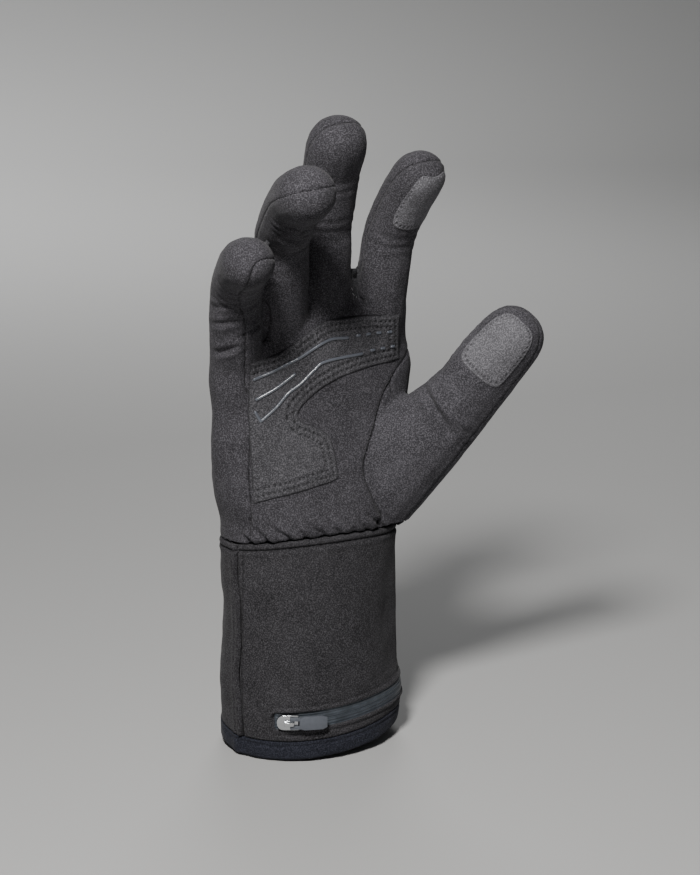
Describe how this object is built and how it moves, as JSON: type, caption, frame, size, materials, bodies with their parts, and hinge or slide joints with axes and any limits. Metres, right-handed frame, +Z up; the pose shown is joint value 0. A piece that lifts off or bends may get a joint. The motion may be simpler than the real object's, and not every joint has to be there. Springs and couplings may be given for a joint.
{
  "type": "heated glove",
  "caption": "Right-hand stretch-knit liner glove for heating, half-curled as worn, with a grip-printed palm patch, touch patches and a long cuff with a zipped battery pocket.",
  "frame": {"origin": "centre of the cuff's opening, at the height of its hem on the back of the hand, where the wrist goes in", "axes": "+Z up the hand towards the fingertips, the palm faces -Y, the thumb is on the +X side"},
  "size_m": [0.1524, 0.1115, 0.2876],
  "materials": {
    "stretch_knit": "brushed matt knit with fine heather",
    "patch_cloth": "matt woven reinforcement",
    "grip_print": "glossy printed silicone",
    "touch_cloth": "matt conductive knit",
    "hem_cloth": "matt stretch binding",
    "zip_film": "semi-matt coated tape",
    "slider_metal": "bright die-cast",
    "pull_rubber": "moulded satin"
  },
  "bodies": {
    "glove": {"palm_panel": "stretch_knit", "back_panel": "stretch_knit", "thumb_front_panel": "stretch_knit", "thumb_back_panel": "stretch_knit", "wrist_gathers": "stretch_knit", "palm_patch": "patch_cloth", "grip_stripe_upper": "grip_print", "grip_stripe_middle": "grip_print", "grip_stripe_lower": "grip_print", "grip_dash_1": "grip_print", "grip_dash_2": "grip_print", "grip_dash_3": "grip_print", "grip_dash_4": "grip_print", "grip_dash_5": "grip_print", "grip_dash_6": "grip_print", "grip_dash_7": "grip_print", "index_touch_patch": "touch_cloth", "thumb_touch_patch": "touch_cloth", "cuff_front_panel": "stretch_knit", "cuff_back_panel": "stretch_knit", "cuff_hem": "hem_cloth", "zip_tape": "zip_film", "zip_slider": "slider_metal"},
    "pull": {"zip_pull": "pull_rubber"}
  },
  "joints": [
    {"name": "pull_flip", "type": "hinge", "parent": "glove", "child": "pull", "pos_m": [-0.02272, -0.03075, 0.01156], "axis": [0, 0, -1], "range_deg": [0, 160]}
  ]
}
